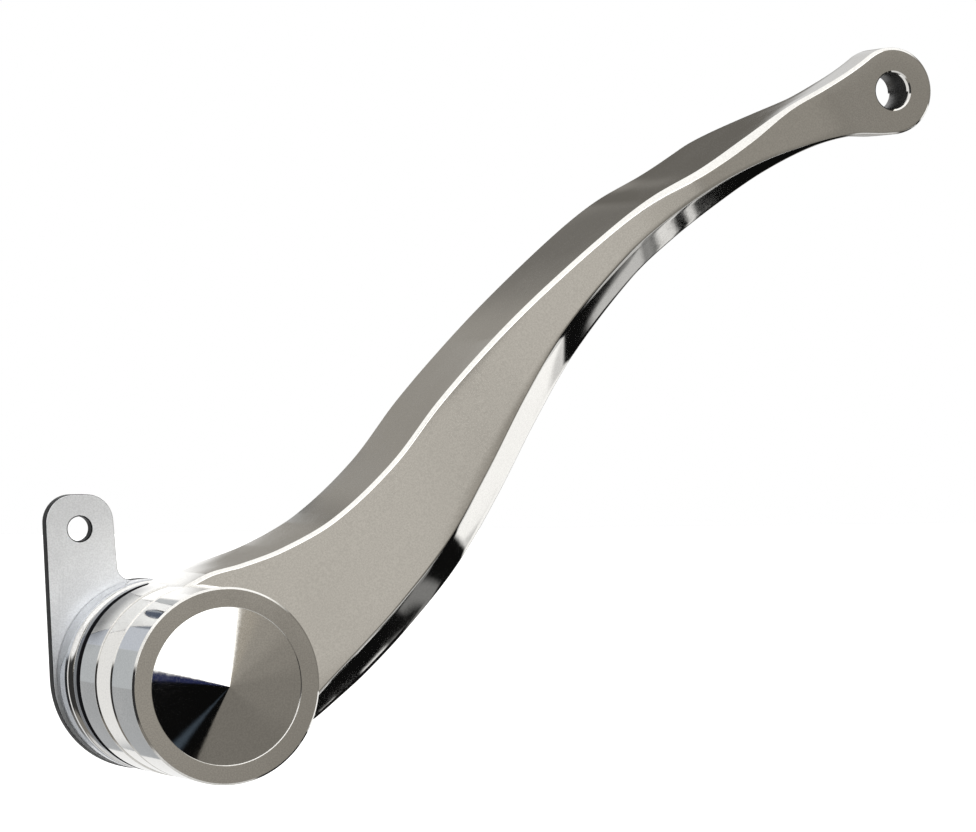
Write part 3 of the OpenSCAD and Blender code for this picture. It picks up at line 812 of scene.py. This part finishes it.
# Hub cap: a flat rim round a low cone
capSet = {"tip": 2.2, "tipR": 0.12, "coneR": 19.94, "coneStep": 0.14, "rimR": 20.06, "r": 25.0, "edge": 0.5,
          "backEdge": 0.4, "spigot": 16.75, "spigotEnd": -9.875, "hollow": 12.45, "hollowTo": -27.475, "corner": 2.0,
          "edgeBreak": 0.03, "sharp": 12}


def capOutline():
    c, rim = capSet, hub["rim"]
    return [
        (0, rim - c["tip"]), (c["tipR"], rim - c["tip"] + c["tipR"] * (c["tip"] + c["coneStep"]) / c["coneR"]),
        (c["coneR"], rim + c["coneStep"]), (c["rimR"], rim), (c["r"] - c["edge"], rim), (c["r"], rim + c["edge"]),
        (c["r"], hub["front"] - c["backEdge"]), (c["r"] - c["backEdge"], hub["front"]), (c["spigot"], hub["front"]),
        (c["spigot"], c["spigotEnd"]), (c["hollow"], c["spigotEnd"]), (c["hollow"], c["hollowTo"] + c["corner"]),
        (c["hollow"] - c["corner"], c["hollowTo"]), (0, c["hollowTo"])]


cap = finishPiece(turnedShape(capOutline(), edgeBreak=capSet["edgeBreak"]), "hubCap", "cap", sharpAngle=capSet["sharp"])
weighNormals(cap)
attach(cap, "root")
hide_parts("hub_cap")


# Trim ring and collar
def arcPoints(centreR, centreY, radius, start, stop, count):
    return [(centreR + radius * math.cos(math.radians(start + (stop - start) * k / count)),
             centreY + radius * math.sin(math.radians(start + (stop - start) * k / count))) for k in range(count + 1)]


trimSet = {"bore": 15.65, "neck": 23.2, "beadR": 23.3, "beadY": 20.575, "bead": 1.7, "from": -93, "to": 90}
beadPoints = arcPoints(trimSet["beadR"], trimSet["beadY"], trimSet["bead"], trimSet["from"], trimSet["to"], 16)
trimOutline = [(trimSet["bore"], hub["back"]), (trimSet["neck"], hub["back"])] + beadPoints
trimOutline.append((trimSet["bore"], hub["trimBack"]))
trim = finishPiece(turnedShape(trimOutline, closed=True, edgeBreak=0), "trimRing", "trim")
# The trim ring's neck takes the dark finish as painted shade
finishWhere(trim, "groove", lambda r, y: r < 23.4 and y < 19.1)
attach(trim, "root")
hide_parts("trim_ring")

collarSet = {"bore": 15.65, "r": 25, "face": 24.4, "edge": 0.6, "edgeBreak": 0.15}
collarOutline = [
    (collarSet["bore"], hub["trimBack"]), (collarSet["face"], hub["trimBack"]),
    (collarSet["r"], hub["trimBack"] + collarSet["edge"]), (collarSet["r"], hub["collarBack"] - collarSet["edge"]),
    (collarSet["face"], hub["collarBack"]), (collarSet["bore"], hub["collarBack"])]
collarShape = turnedShape(collarOutline, closed=True, edgeBreak=collarSet["edgeBreak"])
collar = finishPiece(collarShape, "leverCollar", "collar")
weighNormals(collar)
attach(collar, "root")
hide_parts("lever_collar")
print("cap, trim ring and collar turned")


# Lever plate with its tab
plateSet = {"shift": 0.9, "out": 27.9, "width": 18.5, "top": 47.2, "corner": 7.3, "lean": 5.0, "fillet": 3.6,
            "edge": 0.25, "rodAt": 38.2, "darkBelow": 0.8}
# hole radii and depths, "past" is how far a cutter passes the plate
holeSet = {"past": 1, "bore": 14.0, "rod": 3.25, "rodFlare": 4.55, "rodEdge": 0.3, "screw": 2.05, "head": 3.88,
           "headDepth": 1.8, "headEdge": 0.03, "ring": 19.4, "boreSteps": 128, "steps": 64}


def makePlate():
    p = plateSet
    disc = Vector((-p["shift"], 0))
    level, cr, fr = p["top"] - p["corner"], p["corner"], p["fillet"]
    outer, inner = Vector((-p["out"] + cr, level)), Vector((-p["out"] + p["width"] - cr, level))
    lean = math.radians(p["lean"])
    square, up = Vector((math.cos(lean), math.sin(lean))), Vector((-math.sin(lean), math.cos(lean)))
    k = (inner - disc).dot(square) + cr
    fillet = disc + square * (k + fr) + up * math.sqrt((hr + fr) ** 2 - (k + fr) ** 2)
    way = outer - disc
    outerTurn = math.degrees(math.atan2(way.y, way.x) + math.acos((hr - cr) / way.length))
    filletTurn = math.degrees(math.atan2(fillet.y - disc.y, fillet.x - disc.x))
    outline = arcPoints(outer.x, outer.y, cr, outerTurn, 90, 14)
    outline += arcPoints(inner.x, inner.y, cr, 90, p["lean"], 14)
    outline += arcPoints(fillet.x, fillet.y, fr, 180 + p["lean"], 180 + filletTurn, 10)
    outline += arcPoints(disc.x, disc.y, hr, filletTurn, outerTurn - 360, 170)[1:]
    bm = bmesh.new()
    verts = [bm.verts.new((x * mm, hub["collarBack"] * mm, z * mm)) for x, z in outline]
    face = bm.faces.new(verts)
    deep = bmesh.ops.extrude_face_region(bm, geom=[face])
    bmesh.ops.translate(bm, vec=(0, (hub["plateBack"] - hub["collarBack"]) * mm, 0),
                        verts=[g for g in deep["geom"] if isinstance(g, bmesh.types.BMVert)])
    bmesh.ops.recalc_face_normals(bm, faces=bm.faces)
    rims = [e for e in bm.edges if abs(e.verts[0].co.y - e.verts[1].co.y) < 1e-7]
    bmesh.ops.bevel(bm, geom=rims, offset=p["edge"] * mm, offset_type="OFFSET", segments=3, profile=0.5,
                    affect="EDGES", material=-1, clamp_overlap=True)
    return bm


def spots(first, count, radius):
    turns = [math.radians(first + k * 360 / count) for k in range(count)]
    return [(radius * math.cos(turn), radius * math.sin(turn)) for turn in turns]


screwSpots, pinSpots = spots(45, 4, holeSet["ring"]), spots(0, 2, holeSet["ring"])
plateFront, plateBack = hub["collarBack"], hub["plateBack"]
plate = finishPiece(makePlate(), "leverPlate", "plate")
rodAt = (-plateSet["out"] + plateSet["width"] / 2, plateSet["rodAt"])


# Outlines of the plate's cutters with their places
def plateHoles():
    h = holeSet
    before, behind, sunk = plateFront - h["past"], plateBack + h["past"], plateBack - h["headDepth"]
    bore = [(0, before), (h["bore"], before), (h["bore"], behind), (0, behind)]
    rod = [(0, before), (h["rodFlare"], before), (h["rod"], plateFront + h["rodEdge"]),
           (h["rod"], plateBack - h["rodEdge"]), (h["rodFlare"], behind), (0, behind)]
    screw = [(0, before), (h["screw"], before), (h["screw"], sunk), (h["head"], plateBack + h["headEdge"]),
             (h["head"], behind), (0, behind)]
    pin = [(0, before), (h["screw"], before), (h["screw"], behind), (0, behind)]
    return [((0, 0), bore), (rodAt, rod)] + [(at, screw) for at in screwSpots] + [(at, pin) for at in pinSpots]


for at, outline in plateHoles():
    steps = holeSet["boreSteps"] if at == (0, 0) else holeSet["steps"]
    cutter = turnedShape(outline, edgeBreak=0, steps=steps, centre=(at[0] * mm, 0, at[1] * mm))
    cutAway(plate, finishPiece(cutter, "cutter", "plateEdgeDarkReflection"))
softEdges(plate)
plate.data.materials.clear()
plate.data.materials.append(finishes["plate"])
plate.data.materials.append(finishes["plateEdgeDarkReflection"])
# The plate's side faces take the black finish, a painted dark reflection
for face in plate.data.polygons:
    face.material_index = 1 if abs(face.normal.y) < plateSet["darkBelow"] else 0
weighNormals(plate)
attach(plate, "root")
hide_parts("lever_plate")
print("lever plate cut")


# Bushes, thrust washer, screws and pins at the back
def addTurned(name, outline, finish, nodeName, edgeBreak=0.12):
    piece = finishPiece(turnedShape(outline, closed=True, edgeBreak=edgeBreak, steps=128), name, finish)
    weighNormals(piece)
    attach(piece, "root")
    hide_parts(nodeName)


bushSet = {"bore": 9.55, "r": 11.1, "lead": 0.4, "leadR": 10.7, "length": 14, "flangeR": 13.95, "flange": 1.5,
           "frontSeat": -7.875, "washerBore": 9.7, "washerBreak": 0.2}


def bushOutline(seat, way):
    b = bushSet
    tip, rim = seat - way * b["length"], seat + way * b["flange"]
    return [(b["bore"], tip), (b["leadR"], tip), (b["r"], tip + way * b["lead"]), (b["r"], seat),
            (b["flangeR"], seat), (b["flangeR"], rim), (b["bore"], rim)]


addTurned("rearBush", bushOutline(plateFront, 1), "bronze", "rear_bush")
addTurned("frontBush", bushOutline(bushSet["frontSeat"], -1), "bronze", "front_bush")
washerFront = plateFront + bushSet["flange"]
washerOutline = [(bushSet["washerBore"], washerFront), (bushSet["flangeR"], washerFront),
                 (bushSet["flangeR"], plateBack), (bushSet["washerBore"], plateBack)]
addTurned("thrustWasher", washerOutline, "washer", "thrust_washer", edgeBreak=bushSet["washerBreak"])


screwSet = {"end": 6.875, "endR": 1.6, "r": 2.0, "lead": 0.4, "head": 1.8, "headR": 3.7, "edge": 0.1, "topR": 3.65,
            "edgeBreak": 0.05, "steps": 64, "socketR": 1.24, "socketLong": 3, "socketDeep": 1.4, "turnEach": 17}


def makeScrews():
    c = screwSet
    outline = [(0, c["end"]), (c["endR"], c["end"]), (c["r"], c["end"] + c["lead"]), (c["r"], plateBack - c["head"]),
               (c["headR"], plateBack - c["edge"]), (c["topR"], plateBack), (0, plateBack)]
    socketAt = plateBack - c["socketDeep"] + c["socketLong"] / 2
    screws = None
    for k, at in enumerate(screwSpots):
        centre = (at[0] * mm, 0, at[1] * mm)
        shape = turnedShape(outline, edgeBreak=c["edgeBreak"], steps=c["steps"], centre=centre)
        screw = finishPiece(shape, "leverScrews", "screw")
        lying = Matrix.Rotation(math.radians(90), 4, "X") @ Matrix.Rotation(math.radians(c["turnEach"] * k), 4, "Z")
        socket = bmesh.new()
        bmesh.ops.create_cone(socket, cap_ends=True, segments=6, radius1=c["socketR"] * mm, radius2=c["socketR"] * mm,
                              depth=c["socketLong"] * mm,
                              matrix=Matrix.Translation((centre[0], socketAt * mm, centre[2])) @ lying)
        cutAway(screw, finishPiece(socket, "socket", "screw"))
        softEdges(screw)
        if screws is None:
            screws = screw
        else:
            joinPieces(screws, [screw])
    return screws


screws = makeScrews()
weighNormals(screws)
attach(screws, "root")
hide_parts("lever_screws")

pinSet = {"end": 7.875, "endR": 1.7, "r": 2.0, "lead": 0.3, "edgeBreak": 0.06, "steps": 64}
pinOutline = [(0, pinSet["end"]), (pinSet["endR"], pinSet["end"]), (pinSet["r"], pinSet["end"] + pinSet["lead"]),
              (pinSet["r"], plateBack - pinSet["lead"]), (pinSet["endR"], plateBack), (0, plateBack)]
pins = None
for at in pinSpots:
    pinShape = turnedShape(pinOutline, edgeBreak=pinSet["edgeBreak"], steps=pinSet["steps"],
                           centre=(at[0] * mm, 0, at[1] * mm))
    pin = finishPiece(pinShape, "drivePins", "pin")
    if pins is None:
        pins = pin
    else:
        joinPieces(pins, [pin])
weighNormals(pins)
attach(pins, "root")
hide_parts("drive_pins")

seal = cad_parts["cap_seal"]
for slot in seal.material_slots:
    slot.material = finishes["rubber"]
print("bushes, washer, screws, pins and seal ready")
